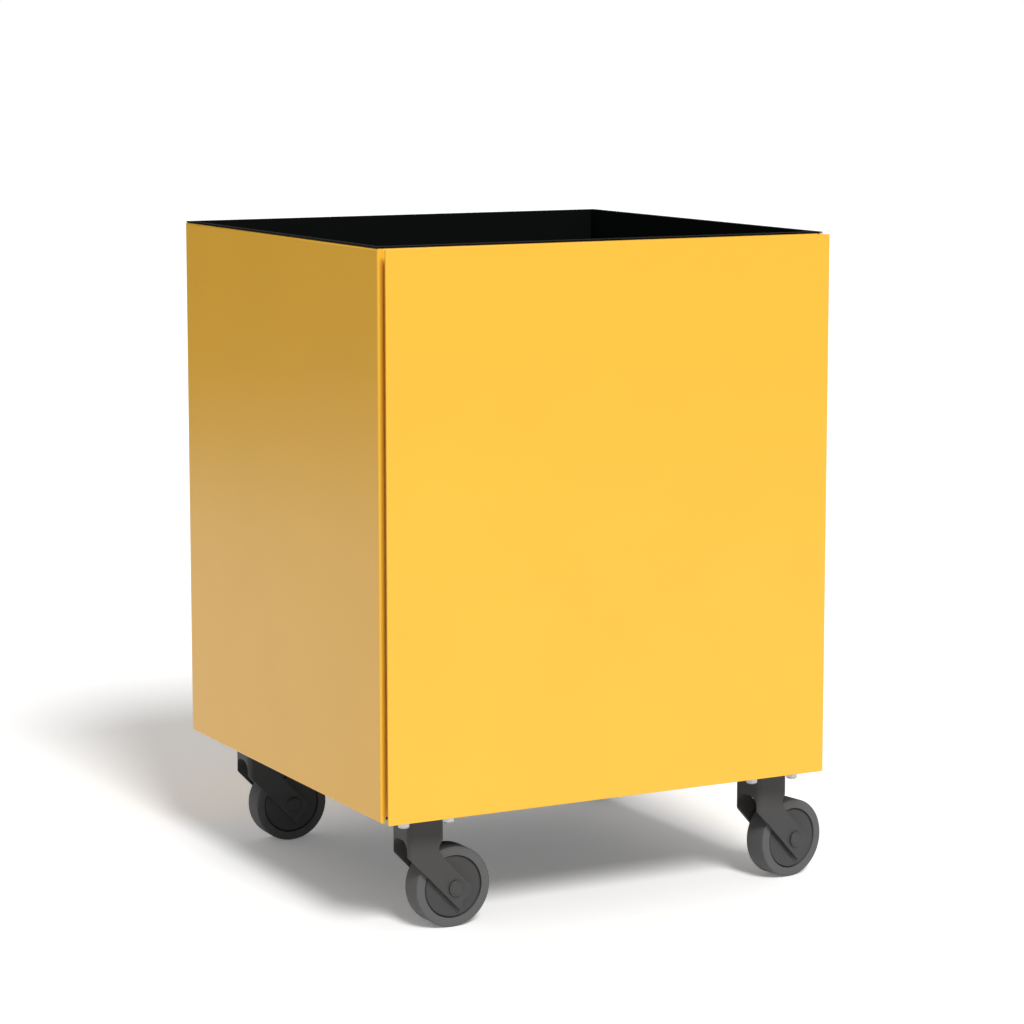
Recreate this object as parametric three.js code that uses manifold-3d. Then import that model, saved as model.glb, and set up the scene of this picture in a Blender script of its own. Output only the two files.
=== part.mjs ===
// A rolling planter: a box of folded, powder-coated sheet steel with a lift-out liner, on four
// swivel castors. Millimetres, +Z up, the front faces -Y, and the origin is on the floor under
// the middle of the bounding box.

import * as THREE from 'three';
import { mergeVertices } from 'three/addons/utils/BufferGeometryUtils.js';
import Module from 'manifold-3d';

const wasm = await Module();
wasm.setup();

// ---------------------------------------------------------------------------------------------
// Driving dimensions
// ---------------------------------------------------------------------------------------------

const GAP = 0.3; // what two pieces keep where they meet
const LAP = 1; // how far two shapes run into each other before they are joined
const SIDES = { hole: 8, bore: 12, pin: 12, hexagon: 6, boltShank: 6, collar: 8, sleeve: 16, race: 24 };

const BODY = { width: 460, depth: 436, height: 508, bottom: 112 };
const SHEET = 1.5; // body sheet
const FOLD = { depth: 5.2, radius: 2 }; // returns round each folded panel, and their bend

const FRONT = { proud: 12, sheet: 2, inset: 2, edge: 0.6 }; // plate in front of the body
const INNER_FRONT = { setback: 1.5, raised: 5 };
const STUD = { radius: 3, nutRadius: 5.77, nutHeight: 5, tail: 0.8, fromSide: 52, fromEnd: 48 };
const SPACER = { radius: 7, bore: 3.4 };

const PAN = { sheet: 2, flange: 8, front: 8 };
const LINER = { wall: 1.5, lip: 1.2, front: 11, floor: 9.5, cover: 0.6 };

const WHEEL = { radius: 37.5, width: 24, trail: 32.5 };
const HUB = { radius: 28.6, width: 22.7, bevel: 1.3, bossFoot: 10, boss: 9, bore: 4.4, segments: 28 };
const TYRE = { inner: 29, lead: 0.7, shoulder: 1.5, segments: 40 };
const AXLE = { radius: 4, cap: 7.5, capDepth: 2, chamfer: 0.6, clearance: 0.5, segments: 14 };

const FORK = {
  width: 34, // over both arms
  arm: 3.6, // thickness of one arm
  front: -15.5, // front wall, ahead of the kingpin
  back: 21.2, // back of the crown
  top: 104,
  archTop: 85,
  archRadius: 9,
  corner: 5,
  backCorner: 5,
  slope: 46.4, // degrees that the arms point down
  armHalfWidth: 11.5,
  tipRadius: 15.5,
  heel: 18.5, // how far the lower edge runs past the axle
  edge: 0.7,
};

// Back edge of the fork, up from the arms into the crown: x from the crown's back, z from the arch's top.
const NECK = { armStart: -1.5, bend: [-6, -11.5], hollow: [-5.8, -8.5], flare: [-5.4, -3.5], end: [0, -1] };

const PLATE = { side: 60, thickness: 3, corner: 6, hole: 3.5, pitch: 44.6, centreHole: 4.6 };
const RACE = { radius: 15, bore: 5.7 };
const KINGPIN = { radius: 5, spigot: 4, head: 7.2, headTop: 83, headHeight: 3, bore: 5.5 };
const BOLT = { radius: 3, head: 5.77, headHeight: 4 };
const NUT = { washer: 6, washerHeight: 1.6, height: 5.2, collar: 4.7, collarHeight: 1 };

const CASTOR_INSET = { left: 53, right: 41, end: 38.5 }; // kingpins from the side panels' faces and ends

// Each castor has its place and the angle that its fork is turned to, in degrees.
const CASTORS = [
  { name: 'front_left', x: -1, y: -1, turn: 1 },
  { name: 'front_right', x: 1, y: -1, turn: 10 },
  { name: 'back_left', x: -1, y: 1, turn: -1 },
  { name: 'back_right', x: 1, y: 1, turn: 5 },
];

// ---------------------------------------------------------------------------------------------
// Materials
// ---------------------------------------------------------------------------------------------

const finish = (color, roughness, metalness) =>
  new THREE.MeshStandardMaterial({ color, roughness, metalness });

const MATERIALS = {
  coat: finish(0xfdc038, 0.45, 0),
  black: finish(0x101513, 0.6, 0),
  zinc: finish(0xc9ccce, 0.35, 1),
  nylon: finish(0x474747, 0.55, 0),
  disc: finish(0x4c4c4c, 0.5, 0),
  tread: finish(0x6c6c6c, 0.7, 0),
};

// ---------------------------------------------------------------------------------------------
// Solids
// ---------------------------------------------------------------------------------------------

/** A closed three.js geometry as a solid that can be joined and cut. */
function toSolid(geometry) {
  const bare = geometry.clone();
  for (const name of Object.keys(bare.attributes)) {
    if (name !== 'position') bare.deleteAttribute(name);
  }
  const merged = mergeVertices(bare, 1e-4);
  return new wasm.Manifold(
    new wasm.Mesh({
      numProp: 3,
      vertProperties: new Float32Array(merged.attributes.position.array),
      triVerts: new Uint32Array(merged.index.array),
    }),
  );
}

/** The geometry of a solid. */
function toGeometry(solid) {
  const mesh = solid.getMesh();
  const geometry = new THREE.BufferGeometry();
  geometry.setAttribute('position', new THREE.BufferAttribute(mesh.vertProperties, 3));
  geometry.setIndex(new THREE.BufferAttribute(mesh.triVerts, 1));
  return geometry;
}

const cut = (geometry, ...tools) =>
  toGeometry(tools.reduce((solid, tool) => solid.subtract(toSolid(tool)), toSolid(geometry)));

const join = (geometry, ...others) =>
  toGeometry(others.reduce((solid, other) => solid.add(toSolid(other)), toSolid(geometry)));

const common = (geometry, other) => toGeometry(toSolid(geometry).intersect(toSolid(other)));

/** A box between two corners. */
function block(low, high) {
  const size = high.map((value, axis) => value - low[axis]);
  const middle = high.map((value, axis) => (value + low[axis]) / 2);
  return new THREE.BoxGeometry(...size).translate(...middle);
}

/** An upright cylinder or prism from z = low to z = high. */
const post = (radius, low, high, sides) =>
  new THREE.CylinderGeometry(radius, radius, high - low, sides)
    .rotateX(Math.PI / 2)
    .translate(0, 0, (low + high) / 2);

/** A rectangle with rounded corners, about the origin. */
function roundedRectangle(width, height, radius) {
  const [x, y] = [width / 2, height / 2];
  const shape = new THREE.Shape();
  shape.moveTo(x, -y + radius);
  shape.lineTo(x, y - radius);
  shape.absarc(x - radius, y - radius, radius, 0, Math.PI / 2);
  shape.absarc(-x + radius, y - radius, radius, Math.PI / 2, Math.PI);
  shape.absarc(-x + radius, -y + radius, radius, Math.PI, 1.5 * Math.PI);
  shape.absarc(x - radius, -y + radius, radius, 1.5 * Math.PI, 2 * Math.PI);
  return shape;
}

/** A rectangle standing on the X axis. */
function rectangle(width, height) {
  const shape = new THREE.Shape();
  shape.moveTo(-width / 2, 0);
  shape.lineTo(width / 2, 0);
  shape.lineTo(width / 2, height);
  shape.lineTo(-width / 2, height);
  shape.closePath();
  return shape;
}

/**
 * A sheet panel folded back along all four edges. Its outer face is at y = 0 and looks along -Y,
 * it stands on z = 0, and the returns run back to y = depth.
 */
function foldedPanel(width, height, sheet, depth, radius) {
  const outer = new THREE.ExtrudeGeometry(rectangle(width - 2 * radius, height - 2 * radius), {
    depth,
    bevelSize: radius,
    bevelThickness: radius,
    bevelSegments: 3,
  })
    .rotateX(Math.PI / 2)
    .translate(0, depth + radius, radius);
  const hollow = block([-width / 2 + sheet, sheet, sheet], [width / 2 - sheet, 2 * depth, height - sheet]);
  const behind = block([-width, depth, -height], [width, 3 * depth + 3 * radius, 2 * height]);
  return cut(outer, hollow, behind);
}

// ---------------------------------------------------------------------------------------------
// Scene graph
// ---------------------------------------------------------------------------------------------

const planter = new THREE.Group();

/** Adds a named piece to a group. */
function add(group, name, geometry, material) {
  const mesh = new THREE.Mesh(geometry, MATERIALS[material]);
  mesh.name = name;
  group.add(mesh);
  return mesh;
}

// ---------------------------------------------------------------------------------------------
// Body: folded panels, the front plate and its fixings, the base pan
// ---------------------------------------------------------------------------------------------

const halfWidth = BODY.width / 2;
const bodyTop = BODY.bottom + BODY.height;
const innerWidth = BODY.width - 2 * (FOLD.depth + GAP);
const innerFaceBack = INNER_FRONT.setback + SHEET;
const frontBack = -FRONT.proud + FRONT.sheet;

/** Where the studs of the front plate stand: x and z. */
const studPlaces = [-1, 1].flatMap((side) =>
  [BODY.bottom + STUD.fromEnd, bodyTop - STUD.fromEnd].map((z) => ({
    x: side * (halfWidth - STUD.fromSide),
    z,
    name: `${z < BODY.height / 2 ? 'lower' : 'upper'}_${side < 0 ? 'left' : 'right'}`,
  })),
);

/** A round bar along Y at one stud's place. */
const barAtStud = ({ x, z }, radius, from, to, sides) =>
  post(radius, from, to, sides).rotateX(-Math.PI / 2).translate(x, 0, z);

function addSidePanel(name, side) {
  const geometry = foldedPanel(BODY.depth, BODY.height, SHEET, FOLD.depth, FOLD.radius);
  const mesh = add(planter, name, geometry, 'coat');
  mesh.rotation.z = (side * Math.PI) / 2;
  mesh.position.set(side * halfWidth, BODY.depth / 2, BODY.bottom);
}

function addBackPanel() {
  const geometry = foldedPanel(innerWidth, BODY.height, SHEET, FOLD.depth, FOLD.radius);
  const mesh = add(planter, 'back_panel', geometry, 'coat');
  mesh.rotation.z = Math.PI;
  mesh.position.set(0, BODY.depth, BODY.bottom);
}

function addInnerFrontPanel() {
  const height = BODY.height - INNER_FRONT.raised;
  const base = BODY.bottom + INNER_FRONT.raised;
  const sheet = foldedPanel(innerWidth, height, SHEET, FOLD.depth, FOLD.radius);
  const holes = studPlaces.map(({ x, z }) =>
    barAtStud({ x, z: z - base }, SPACER.bore, -FOLD.depth, 2 * FOLD.depth, SIDES.hole),
  );
  const mesh = add(planter, 'inner_front_panel', cut(sheet, ...holes), 'coat');
  mesh.position.set(0, INNER_FRONT.setback, base);
}

function addFrontPanel() {
  const { edge, sheet } = FRONT;
  const width = BODY.width - 2 * FRONT.inset;
  const geometry = new THREE.ExtrudeGeometry(rectangle(width - 2 * edge, BODY.height - 2 * edge), {
    depth: sheet - 2 * edge,
    bevelSize: edge,
    bevelThickness: edge,
    bevelSegments: 2,
  })
    .rotateX(Math.PI / 2)
    .translate(0, frontBack - edge, BODY.bottom + edge);
  add(planter, 'front_panel', geometry, 'coat');
}

/** Spacer sleeves and studs with their nuts hold the front plate off the inner front panel. */
function addFrontFixings() {
  for (const place of studPlaces) {
    const sleeve = cut(
      barAtStud(place, SPACER.radius, frontBack + GAP, INNER_FRONT.setback - GAP, SIDES.sleeve),
      barAtStud(place, SPACER.bore, frontBack, INNER_FRONT.setback, SIDES.hole),
    );
    add(planter, `front_spacer_${place.name}`, sleeve, 'zinc');
    const nutStart = innerFaceBack + GAP;
    const nutEnd = nutStart + STUD.nutHeight;
    const stud = join(
      barAtStud(place, STUD.radius, frontBack + GAP, nutEnd + STUD.tail, SIDES.hole),
      barAtStud(place, STUD.nutRadius, nutStart, nutEnd, SIDES.hexagon),
    );
    add(planter, `front_stud_${place.name}`, stud, 'zinc');
  }
}

/** Kingpin places under the body: x and y. */
const castorPlace = ({ x, y }) => ({
  x: x * (halfWidth - (x < 0 ? CASTOR_INSET.left : CASTOR_INSET.right)),
  y: BODY.depth / 2 + y * (BODY.depth / 2 - CASTOR_INSET.end),
});

/** Four points on a square about a kingpin, which the bolts go through. */
const boltPlaces = [-1, 1].flatMap((x) => [-1, 1].map((y) => [(x * PLATE.pitch) / 2, (y * PLATE.pitch) / 2]));

function addBasePan() {
  const depth = BODY.depth - PAN.front - FOLD.depth - GAP;
  const tray = foldedPanel(innerWidth, depth, PAN.sheet, PAN.flange, FOLD.radius)
    .rotateX(Math.PI / 2)
    .translate(0, PAN.front + depth, BODY.bottom + GAP);
  const holes = CASTORS.map(castorPlace).flatMap((castor) =>
    boltPlaces.map(([x, y]) =>
      post(PLATE.hole, 0, 2 * BODY.bottom, SIDES.hole).translate(castor.x + x, castor.y + y, 0),
    ),
  );
  add(planter, 'base_pan', cut(tray, ...holes), 'black');
}

// ---------------------------------------------------------------------------------------------
// Liner: a straight tub whose lip covers the rim of the panels
// ---------------------------------------------------------------------------------------------

function addLiner() {
  const x = halfWidth - FOLD.depth - 2 * GAP;
  const back = BODY.depth - FOLD.depth - 2 * GAP;
  const floor = BODY.bottom + LINER.floor;
  const lipUnder = bodyTop + GAP;
  const lipTop = lipUnder + LINER.lip;
  const tub = block([-x, LINER.front, floor], [x, back, lipTop]);
  const lip = block(
    [-halfWidth + LINER.cover, INNER_FRONT.setback + LINER.cover, lipUnder],
    [halfWidth - LINER.cover, BODY.depth - LINER.cover, lipTop],
  );
  const cavity = block(
    [-x + LINER.wall, LINER.front + LINER.wall, floor + LINER.wall],
    [x - LINER.wall, back - LINER.wall, lipTop + LINER.lip],
  );
  add(planter, 'liner', cut(join(tub, lip), cavity), 'black');
}

// ---------------------------------------------------------------------------------------------
// Castor: plate, race, kingpin, bolts; the turning fork; the axle and the wheel
// ---------------------------------------------------------------------------------------------

/** Side outline of the fork, in x and z, with the kingpin at x = 0. */
function forkOutline() {
  const axle = new THREE.Vector2(WHEEL.trail, WHEEL.radius);
  const slope = THREE.MathUtils.degToRad(FORK.slope);
  const along = new THREE.Vector2(Math.cos(slope), -Math.sin(slope));
  const across = new THREE.Vector2(Math.sin(slope), Math.cos(slope));
  const reach = Math.sqrt(FORK.tipRadius ** 2 - FORK.armHalfWidth ** 2);
  const upper = axle.clone().addScaledVector(across, FORK.armHalfWidth);
  const lower = axle.clone().addScaledVector(across, -FORK.armHalfWidth);
  const upperEnd = upper.clone().addScaledVector(along, reach);
  const heel = lower.clone().addScaledVector(along, FORK.heel);
  const atX = (point, x) => point.y + ((x - point.x) * along.y) / along.x;
  const neck = ([x, z]) => [FORK.back + x, FORK.archTop + z];
  const armStart = FORK.back + NECK.armStart;

  const shape = new THREE.Shape();
  shape.moveTo(FORK.front, FORK.top);
  shape.lineTo(FORK.front, atX(lower, FORK.front));
  shape.lineTo(heel.x, heel.y);
  const startAngle = -Math.PI / 3;
  const endAngle = Math.atan2(upperEnd.y - axle.y, upperEnd.x - axle.x);
  shape.absarc(axle.x, axle.y, FORK.tipRadius, startAngle, endAngle, false);
  shape.lineTo(armStart, atX(upper, armStart));
  shape.quadraticCurveTo(...neck(NECK.bend), ...neck(NECK.hollow));
  shape.quadraticCurveTo(...neck(NECK.flare), ...neck(NECK.end));
  shape.lineTo(FORK.back, FORK.top);
  shape.closePath();
  return shape;
}

/** The fork seen from above: rounded front corners, and crown corners that pass the bolts. */
function forkPlan() {
  const half = FORK.width / 2;
  const [r, b] = [FORK.corner, FORK.backCorner];
  const shape = new THREE.Shape();
  shape.moveTo(FORK.front + r, -half);
  shape.lineTo(FORK.back - b, -half);
  shape.absarc(FORK.back - b, -half + b, b, -Math.PI / 2, 0);
  shape.lineTo(FORK.back, half - b);
  shape.absarc(FORK.back - b, half - b, b, 0, Math.PI / 2);
  shape.lineTo(FORK.front + r, half);
  shape.absarc(FORK.front + r, half - r, r, Math.PI / 2, Math.PI);
  shape.absarc(FORK.front + r, -half + r, r, Math.PI, 1.5 * Math.PI);
  return shape;
}

/** The arched passage that the wheel turns in, as a bar along X. */
function forkArch() {
  const half = FORK.width / 2 - FORK.arm;
  const r = FORK.archRadius;
  const shape = new THREE.Shape();
  shape.moveTo(-half, -WHEEL.radius);
  shape.lineTo(half, -WHEEL.radius);
  shape.lineTo(half, FORK.archTop - r);
  shape.absarc(half - r, FORK.archTop - r, r, 0, Math.PI / 2);
  shape.absarc(-half + r, FORK.archTop - r, r, Math.PI / 2, Math.PI);
  shape.closePath();
  const length = 6 * WHEEL.radius;
  return new THREE.ExtrudeGeometry(shape, { depth: length, bevelEnabled: false, curveSegments: 4 })
    .rotateX(Math.PI / 2)
    .rotateZ(Math.PI / 2)
    .translate(-length / 2, 0, 0);
}

function forkGeometry() {
  const { edge, width, back } = FORK;
  const side = new THREE.ExtrudeGeometry(forkOutline(), {
    depth: width - 2 * edge,
    bevelSize: edge,
    bevelThickness: edge,
    bevelOffset: -edge,
    bevelSegments: 1,
    curveSegments: 5,
  })
    .rotateX(Math.PI / 2)
    .translate(0, width / 2 - edge, 0);
  const crown = new THREE.ExtrudeGeometry(forkPlan(), {
    depth: 2 * FORK.top,
    bevelEnabled: false,
    curveSegments: 3,
  });
  const armsStart = back - FORK.backCorner - LAP;
  const arms = block([armsStart, -width, -LAP], [3 * WHEEL.radius, width, 2 * WHEEL.radius]);
  const outer = common(side, join(crown, arms));
  const axleBore = post(AXLE.radius + AXLE.clearance, -width, width, SIDES.bore)
    .rotateX(Math.PI / 2)
    .translate(WHEEL.trail, 0, WHEEL.radius);
  return cut(outer, forkArch(), post(KINGPIN.bore, WHEEL.radius, 2 * FORK.top, SIDES.bore), axleBore);
}

/** Turned piece about the wheel's axle, from points of radius and distance along the axle. */
const turned = (points, segments) =>
  new THREE.LatheGeometry(
    points.map(([radius, y]) => new THREE.Vector2(radius, y)),
    segments,
  );

/** Points of one half of a profile, mirrored to the other half and closed on its first point. */
function mirrored(half) {
  const other = half.map(([radius, y]) => [radius, -y]).reverse();
  return [...other, ...half, other[0]];
}

function hubGeometry() {
  const face = HUB.width / 2;
  const armGap = FORK.width / 2 - FORK.arm - GAP;
  return turned(
    mirrored([
      [HUB.radius, face - HUB.bevel],
      [HUB.radius - HUB.bevel, face],
      [HUB.bossFoot, face],
      [HUB.boss, armGap],
      [HUB.bore, armGap],
    ]),
    HUB.segments,
  );
}

function tyreGeometry() {
  const half = WHEEL.width / 2;
  const { inner, lead, shoulder } = TYRE;
  return turned(
    mirrored([
      [WHEEL.radius, half - shoulder],
      [WHEEL.radius - shoulder, half],
      [inner + lead, half],
      [inner, half - lead],
    ]),
    TYRE.segments,
  );
}

function axleGeometry() {
  const seat = FORK.width / 2 + GAP;
  const end = seat + AXLE.capDepth;
  const half = [
    [AXLE.radius, 0],
    [AXLE.radius, seat],
    [AXLE.cap, seat],
    [AXLE.cap, end - AXLE.chamfer],
    [AXLE.cap - AXLE.chamfer, end],
    [0, end],
  ];
  const other = half
    .slice(1)
    .map(([radius, y]) => [radius, -y])
    .reverse();
  return turned([...other, ...half.slice(1)], AXLE.segments);
}

const plateBottom = BODY.bottom - PLATE.thickness;

function plateGeometry() {
  const sheet = new THREE.ExtrudeGeometry(roundedRectangle(PLATE.side, PLATE.side, PLATE.corner), {
    depth: PLATE.thickness,
    bevelEnabled: false,
    curveSegments: 2,
  }).translate(0, 0, plateBottom);
  const hole = (radius, x, y) => post(radius, 0, 2 * BODY.bottom, SIDES.hole).translate(x, y, 0);
  return cut(sheet, hole(PLATE.centreHole, 0, 0), ...boltPlaces.map(([x, y]) => hole(PLATE.hole, x, y)));
}

const raceGeometry = () =>
  cut(
    post(RACE.radius, FORK.top + GAP, plateBottom - GAP, SIDES.race),
    post(RACE.bore, 0, 2 * BODY.bottom, SIDES.bore),
  );

/** The pin that the fork turns on: headed below the crown, stepped to a spigot in the plate. */
const kingpinGeometry = () =>
  join(
    post(KINGPIN.radius, KINGPIN.headTop - LAP, plateBottom - GAP, SIDES.pin),
    post(KINGPIN.head, KINGPIN.headTop - KINGPIN.headHeight, KINGPIN.headTop, SIDES.pin),
    post(KINGPIN.spigot, plateBottom - LAP, BODY.bottom - GAP, SIDES.hole),
  );

/** A bolt through the base pan and the plate, with its washer and lock nut below. */
function boltGeometry() {
  const headStart = BODY.bottom + GAP + PAN.sheet + GAP;
  const washerEnd = plateBottom - GAP;
  const nutEnd = washerEnd - NUT.washerHeight;
  const collarEnd = nutEnd - NUT.height;
  const end = collarEnd - NUT.collarHeight;
  return join(
    post(BOLT.radius, nutEnd, headStart + LAP, SIDES.boltShank),
    post(BOLT.head, headStart, headStart + BOLT.headHeight, SIDES.hexagon),
    post(NUT.washer, nutEnd, washerEnd, SIDES.pin),
    post(BOLT.head, collarEnd, nutEnd, SIDES.hexagon),
    post(NUT.collar, end, collarEnd, SIDES.collar),
  );
}

const castorShapes = {
  plate: plateGeometry(),
  race: raceGeometry(),
  kingpin: kingpinGeometry(),
  bolt: boltGeometry(),
  fork: forkGeometry(),
  axle: axleGeometry(),
  hub: hubGeometry(),
  tyre: tyreGeometry(),
};

function addCastor(castor) {
  const prefix = `castor_${castor.name}`;
  const { x, y } = castorPlace(castor);
  const fixed = new THREE.Group();
  fixed.position.set(x, y, 0);
  planter.add(fixed);
  add(fixed, `${prefix}_plate`, castorShapes.plate, 'zinc');
  add(fixed, `${prefix}_race`, castorShapes.race, 'nylon');
  add(fixed, `${prefix}_kingpin`, castorShapes.kingpin, 'zinc');
  boltPlaces.forEach(([boltX, boltY], index) => {
    add(fixed, `${prefix}_bolt_${index + 1}`, castorShapes.bolt, 'zinc').position.set(boltX, boltY, 0);
  });

  const swivel = new THREE.Group();
  swivel.rotation.z = THREE.MathUtils.degToRad(castor.turn);
  fixed.add(swivel);
  add(swivel, `${prefix}_fork`, castorShapes.fork, 'nylon');
  for (const [piece, material] of [
    ['axle', 'nylon'],
    ['hub', 'disc'],
    ['tyre', 'tread'],
  ]) {
    const mesh = add(swivel, `${prefix}_${piece}`, castorShapes[piece], material);
    mesh.position.set(WHEEL.trail, 0, WHEEL.radius);
  }
}

// ---------------------------------------------------------------------------------------------
// Assembly
// ---------------------------------------------------------------------------------------------

addSidePanel('left_side_panel', -1);
addSidePanel('right_side_panel', 1);
addBackPanel();
addInnerFrontPanel();
addFrontPanel();
addFrontFixings();
addBasePan();
addLiner();
CASTORS.forEach(addCastor);

planter.updateMatrixWorld(true);
const middle = new THREE.Box3().setFromObject(planter, true).getCenter(new THREE.Vector3());
planter.position.set(-middle.x, -middle.y, 0);

export default planter;
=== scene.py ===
"""A rolling planter in a white studio: folded yellow sheet steel, a black liner and four grey castors.

Lengths are in metres, +Z is up and the front plate faces -Y. Each piece takes its size and its place from the
box of the solid that it stands for.
"""

from __future__ import annotations

import logging
import math
from collections.abc import Iterable, Iterator, Mapping, Sequence
from contextlib import ExitStack, contextmanager
from dataclasses import dataclass
from enum import Enum

import bmesh
import bpy
from bmesh.types import BMesh, BMVert
from bpy.types import ID, Material, Mesh, NodeSocket, NodeTree, Object
from mathutils import Matrix, Vector

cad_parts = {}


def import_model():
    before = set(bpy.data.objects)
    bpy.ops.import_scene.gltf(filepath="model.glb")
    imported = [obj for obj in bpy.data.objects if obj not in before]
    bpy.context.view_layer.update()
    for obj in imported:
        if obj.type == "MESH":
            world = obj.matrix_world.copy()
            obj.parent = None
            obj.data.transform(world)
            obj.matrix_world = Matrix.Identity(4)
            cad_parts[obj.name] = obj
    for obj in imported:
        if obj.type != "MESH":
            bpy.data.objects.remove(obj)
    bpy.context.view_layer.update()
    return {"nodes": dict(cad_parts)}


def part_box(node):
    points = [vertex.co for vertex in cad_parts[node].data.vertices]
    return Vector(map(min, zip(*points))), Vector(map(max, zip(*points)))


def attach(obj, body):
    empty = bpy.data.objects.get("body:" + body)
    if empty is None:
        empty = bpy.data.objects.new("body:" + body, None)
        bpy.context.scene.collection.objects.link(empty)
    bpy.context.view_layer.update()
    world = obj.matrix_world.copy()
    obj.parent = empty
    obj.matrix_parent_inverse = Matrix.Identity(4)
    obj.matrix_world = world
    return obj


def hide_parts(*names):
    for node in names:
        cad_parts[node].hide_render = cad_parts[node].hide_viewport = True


LOG = logging.getLogger("rolling_planter")
MM = 0.001
ROUNDED_FROM = 30.0  # degrees between faces past which an edge is rounded
SHARP_FROM = 35.0  # and past which one stays sharp after that

Point = tuple[float, float]
Point3 = tuple[float, float, float]
Colour = tuple[float, float, float]
Step = tuple[str, Mapping[str, object]]  # a modifier's type and its settings


class Facing(Enum):
    """Which way a panel's outer face looks, as its turn about +Z from looking along -Y, in degrees."""

    FRONT = 0.0
    RIGHT = 90.0
    BACK = 180.0
    LEFT = -90.0


class Corner(Enum):
    """The corner of the base that a castor is bolted to."""

    FRONT_LEFT = "front_left"
    FRONT_RIGHT = "front_right"
    BACK_LEFT = "back_left"
    BACK_RIGHT = "back_right"


class Plane(Enum):
    """The plane that an outline is drawn in, as the matrix that stands it up before it is extruded."""

    FLAT = Matrix.Identity(4)
    SIDE = Matrix.Rotation(math.pi / 2, 4, "X")
    END = Matrix(((0, 0, 1, 0), (1, 0, 0, 0), (0, 1, 0, 0), (0, 0, 0, 1)))


# ------------------------------------------------------------
# Node trees
# ------------------------------------------------------------


@dataclass(frozen=True)
class Link:
    """One output socket of a tree. Sums and products on it add Math nodes."""

    tree: Tree
    socket: NodeSocket | None

    def _math(self, operation: str, left: Link | float, right: Link | float) -> Link:
        """Adds one Math node."""
        return self.tree.node("ShaderNodeMath", {"operation": operation}, {0: left, 1: right})

    def __add__(self, other: Link | float) -> Link:
        """Sum of two values."""
        return self._math("ADD", self, other)

    def __sub__(self, other: Link | float) -> Link:
        """Difference of two values."""
        return self._math("SUBTRACT", self, other)

    def __rsub__(self, other: Link | float) -> Link:
        """Difference of a number and this value."""
        return self._math("SUBTRACT", other, self)

    def __mul__(self, other: Link | float) -> Link:
        """Product of two values."""
        return self._math("MULTIPLY", self, other)

    __radd__ = __add__
    __rmul__ = __mul__


class Tree:
    """Adds nodes to one shader or geometry tree."""

    def __init__(self, tree: NodeTree) -> None:
        """Starts on a tree, which is cleared."""
        self.tree = tree
        tree.nodes.clear()

    def node(
        self,
        kind: str,
        settings: Mapping[str, object] | None = None,
        inputs: Mapping[int | str, object] | None = None,
        output: int | str = 0,
    ) -> Link:
        """Adds one node.

        Args:
            kind: The node's type.
            settings: Properties of the node, set before its sockets.
            inputs: Values or links of its input sockets, by name or number.
            output: The output socket to hand back, by name or number.

        Returns:
            The chosen output socket, or an empty link for a node that has none.
        """
        made = self.tree.nodes.new(kind)
        for name, value in (settings or {}).items():
            setattr(made, name, value)
        for name, value in (inputs or {}).items():
            if isinstance(value, Link):
                self.tree.links.new(value.socket, made.inputs[name])
            else:
                made.inputs[name].default_value = value
        return Link(self, made.outputs[output] if len(made.outputs) else None)


class FormTree(Tree):
    """A geometry tree with named inputs, ended in Realize Instances and Set Material."""

    def __init__(self, name: str, inputs: Mapping[str, str]) -> None:
        """Makes the tree, with the socket type of each named input."""
        group = bpy.data.node_groups.new(name, "GeometryNodeTree")
        super().__init__(group)
        group.interface.new_socket(name="Geometry", in_out="INPUT", socket_type="NodeSocketGeometry")
        for label, kind in {**inputs, "Material": "NodeSocketMaterial"}.items():
            group.interface.new_socket(name=label, in_out="INPUT", socket_type=kind)
        group.interface.new_socket(name="Geometry", in_out="OUTPUT", socket_type="NodeSocketGeometry")
        self.start = group.nodes.new("NodeGroupInput")

    def given(self, label: str) -> Link:
        """The tree's named input."""
        return Link(self, self.start.outputs[label])

    def end(self, geometry: Link) -> None:
        """Realizes the geometry, gives it its material and hands it out."""
        whole = self.node("GeometryNodeRealizeInstances", inputs={0: geometry})
        dressed = self.node(
            "GeometryNodeSetMaterial", inputs={"Geometry": whole, "Material": self.given("Material")}
        )
        self.node("NodeGroupOutput", inputs={0: dressed})

    def run(self, mesh: Mesh, **values: object) -> Mesh:
        """Runs the tree on a mesh and keeps what it makes as a plain mesh.

        Args:
            mesh: The mesh that the tree starts from.
            values: The tree's inputs by name.

        Returns:
            The made mesh, with its faces pointing outwards.
        """
        with held(mesh) as host:
            modifier = host.modifiers.new("form", "NODES")
            modifier.node_group = self.tree
            for item in self.tree.interface.items_tree:
                if item.in_out == "INPUT" and item.name in values:
                    modifier[item.identifier] = values[item.name]
            return facing_out(evaluated(host))


def turned_tree() -> FormTree:
    """The tree that turns a profile about +Z.

    The profile's X is the radius beyond Radius, and its Y is minus the height.
    """
    tree = FormTree("turned", {"Radius": "NodeSocketFloat", "Segments": "NodeSocketInt"})
    profile = tree.node("GeometryNodeMeshToCurve", inputs={"Mesh": tree.given("Geometry")})
    circle = tree.node(
        "GeometryNodeCurvePrimitiveCircle",
        {"mode": "RADIUS"},
        {"Resolution": tree.given("Segments"), "Radius": tree.given("Radius")},
    )
    swept = tree.node("GeometryNodeCurveToMesh", inputs={"Curve": circle, "Profile Curve": profile})
    closed = tree.node("GeometryNodeMergeByDistance", inputs={"Geometry": swept, "Distance": MM / 1000})
    tree.end(tree.node("GeometryNodeSetShadeSmooth", inputs={"Geometry": closed}))
    return tree


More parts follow.
